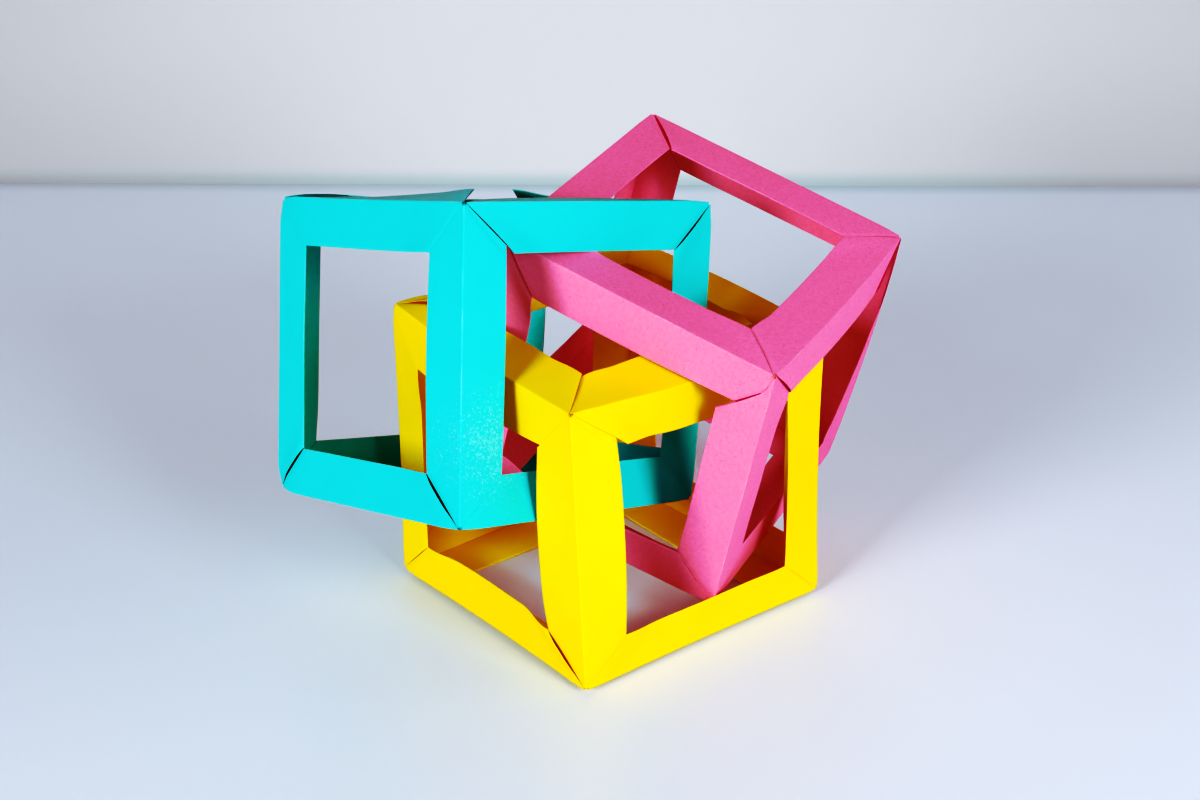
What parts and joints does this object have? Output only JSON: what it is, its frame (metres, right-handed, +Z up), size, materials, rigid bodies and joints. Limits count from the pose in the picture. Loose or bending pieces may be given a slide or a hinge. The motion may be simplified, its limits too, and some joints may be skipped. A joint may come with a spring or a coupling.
{
  "type": "modular origami model",
  "caption": "Open cubes of folded paper strips, hooked through one another: one stands flat and the others lean in it, slotted corner to corner without glue.",
  "frame": {"origin": "centre of the bounding box on the surface that the model stands on", "axes": "+Z up; X and Y run along the bottom strips of the yellow cube, which stands flat; the corner of that cube nearest to the usual viewer is at -X and -Y"},
  "size_m": [0.2232, 0.2008, 0.1876],
  "materials": {
    "yellow_paper": "matte",
    "turquoise_paper": "matte",
    "pink_paper": "matte"
  },
  "bodies": {
    "root": {"yellow_top_front_left": "yellow_paper", "yellow_top_front_right": "yellow_paper", "yellow_top_back_right": "yellow_paper", "yellow_top_back_left": "yellow_paper", "yellow_bottom_front_left": "yellow_paper", "yellow_bottom_front_right": "yellow_paper", "yellow_bottom_back_right": "yellow_paper", "yellow_bottom_back_left": "yellow_paper", "yellow_front_upright": "yellow_paper", "yellow_right_upright": "yellow_paper", "yellow_back_upright": "yellow_paper", "yellow_left_upright": "yellow_paper", "turquoise_top_front_left": "turquoise_paper", "turquoise_top_front_right": "turquoise_paper", "turquoise_top_back_right": "turquoise_paper", "turquoise_top_back_left": "turquoise_paper", "turquoise_bottom_front_left": "turquoise_paper", "turquoise_bottom_front_right": "turquoise_paper", "turquoise_bottom_back_right": "turquoise_paper", "turquoise_bottom_back_left": "turquoise_paper", "turquoise_front_upright": "turquoise_paper", "turquoise_right_upright": "turquoise_paper", "turquoise_back_upright": "turquoise_paper", "turquoise_left_upright": "turquoise_paper", "pink_top_front_left": "pink_paper", "pink_top_front_right": "pink_paper", "pink_top_back_right": "pink_paper", "pink_top_back_left": "pink_paper", "pink_bottom_front_left": "pink_paper", "pink_bottom_front_right": "pink_paper", "pink_bottom_back_right": "pink_paper", "pink_bottom_back_left": "pink_paper", "pink_front_upright": "pink_paper", "pink_right_upright": "pink_paper", "pink_back_upright": "pink_paper", "pink_left_upright": "pink_paper"}
  },
  "joints": []
}
